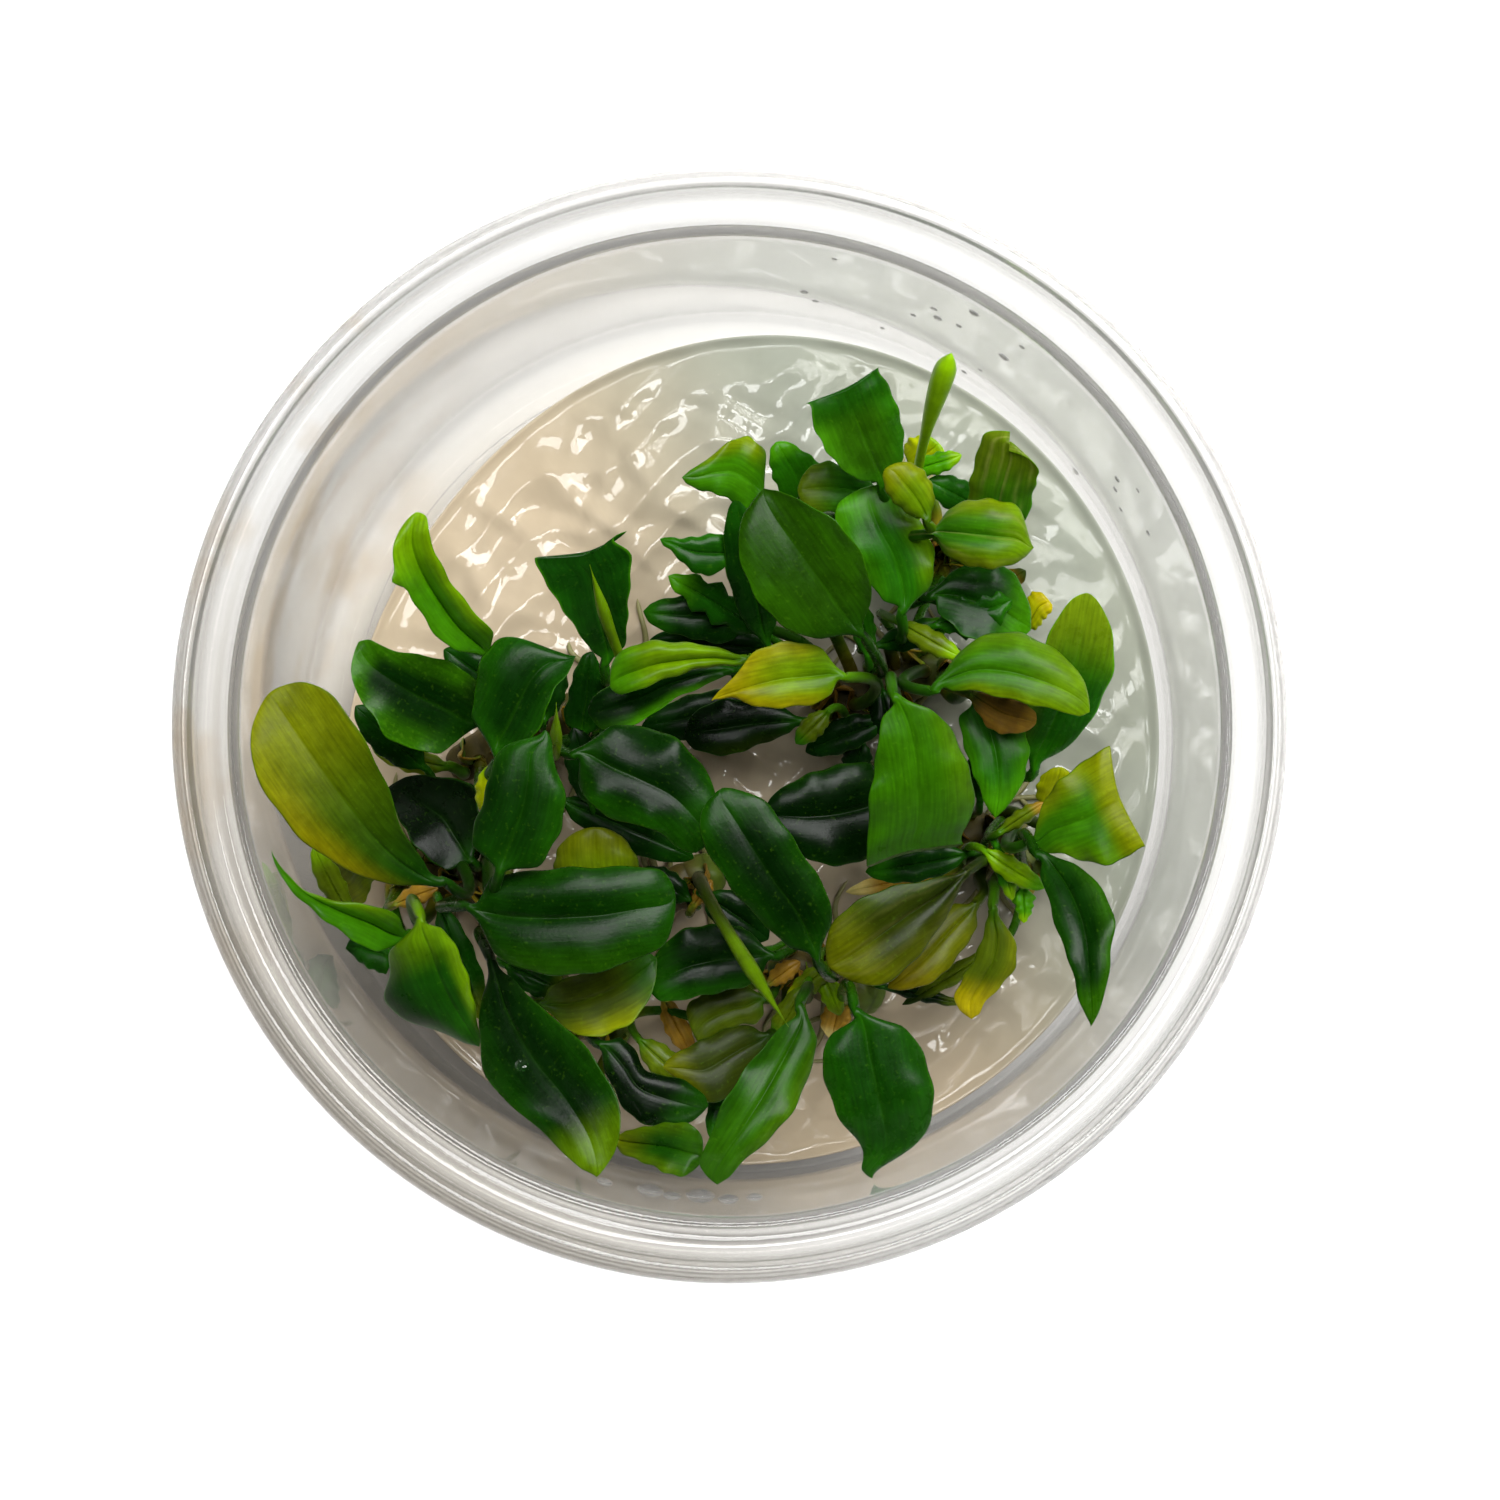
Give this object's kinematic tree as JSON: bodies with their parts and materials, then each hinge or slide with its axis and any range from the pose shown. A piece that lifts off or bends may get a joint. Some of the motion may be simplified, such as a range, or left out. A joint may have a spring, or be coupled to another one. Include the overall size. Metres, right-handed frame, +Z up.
{
  "type": "tissue culture plant cup",
  "caption": "Golden anubias nana plantlets with ovate green to gold leaves, growing on culture gel in a clear, round, open plastic cup.",
  "frame": {"origin": "centre of the cup's foot ring, on the surface that the cup stands on", "axes": "+Z up along the cup's axis; +X to the right and +Y to the top as the cup is seen from above in the picture"},
  "size_m": [0.1, 0.1, 0.05],
  "materials": {
    "clear_plastic": "clear, slightly hazy moulded plastic",
    "culture_gel": "wet translucent beige gel",
    "rhizome": "moist brown-green stem",
    "leaf_dark": "waxy dark green",
    "leaf_green": "waxy mid green",
    "leaf_gold": "waxy golden green",
    "leaf_olive": "waxy olive green",
    "leaf_dead": "dull brown"
  },
  "bodies": {
    "root": {"cup": "clear_plastic", "gel": "culture_gel", "west_rhizome": "rhizome", "northwest_rhizome": "rhizome", "centre_rhizome": "rhizome", "southwest_rhizome": "rhizome", "south_rhizome": "rhizome", "east_rhizome": "rhizome", "north_rhizome": "rhizome", "northeast_rhizome": "rhizome", "west_leaf_1": "leaf_gold", "west_leaf_2": "leaf_olive", "west_leaf_3": "leaf_green", "west_leaf_4": "leaf_green", "west_leaf_5": "leaf_dark", "west_leaf_6": "leaf_dark", "west_leaf_7": "leaf_green", "west_leaf_8": "leaf_dark", "northwest_leaf_1": "leaf_dark", "northwest_leaf_2": "leaf_dark", "northwest_leaf_3": "leaf_green", "northwest_leaf_4": "leaf_dark", "northwest_leaf_5": "leaf_dark", "centre_leaf": "leaf_gold", "southwest_leaf_1": "leaf_olive", "southwest_leaf_2": "leaf_dark", "southwest_leaf_3": "leaf_green", "south_leaf_1": "leaf_green", "south_leaf_2": "leaf_dark", "south_leaf_3": "leaf_dark", "south_leaf_4": "leaf_olive", "south_leaf_5": "leaf_olive", "south_leaf_6": "leaf_dark", "east_leaf_1": "leaf_gold", "east_leaf_2": "leaf_dark", "east_leaf_3": "leaf_olive", "east_leaf_4": "leaf_gold", "east_leaf_5": "leaf_gold", "north_leaf_1": "leaf_dark", "north_leaf_2": "leaf_green", "north_leaf_3": "leaf_gold", "north_leaf_4": "leaf_gold", "north_leaf_5": "leaf_dark", "north_leaf_6": "leaf_dark", "north_leaf_7": "leaf_dark", "north_leaf_8": "leaf_green", "north_leaf_9": "leaf_green", "north_leaf_10": "leaf_gold", "north_leaf_11": "leaf_dead", "north_leaf_12": "leaf_dark", "north_leaf_13": "leaf_dark", "north_leaf_14": "leaf_dark", "northeast_leaf_1": "leaf_dark", "northeast_leaf_2": "leaf_gold", "northeast_leaf_3": "leaf_green", "northeast_leaf_4": "leaf_olive", "northeast_leaf_5": "leaf_olive", "northeast_leaf_6": "leaf_gold", "northeast_leaf_7": "leaf_dark", "northeast_leaf_8": "leaf_green"}
  },
  "joints": []
}
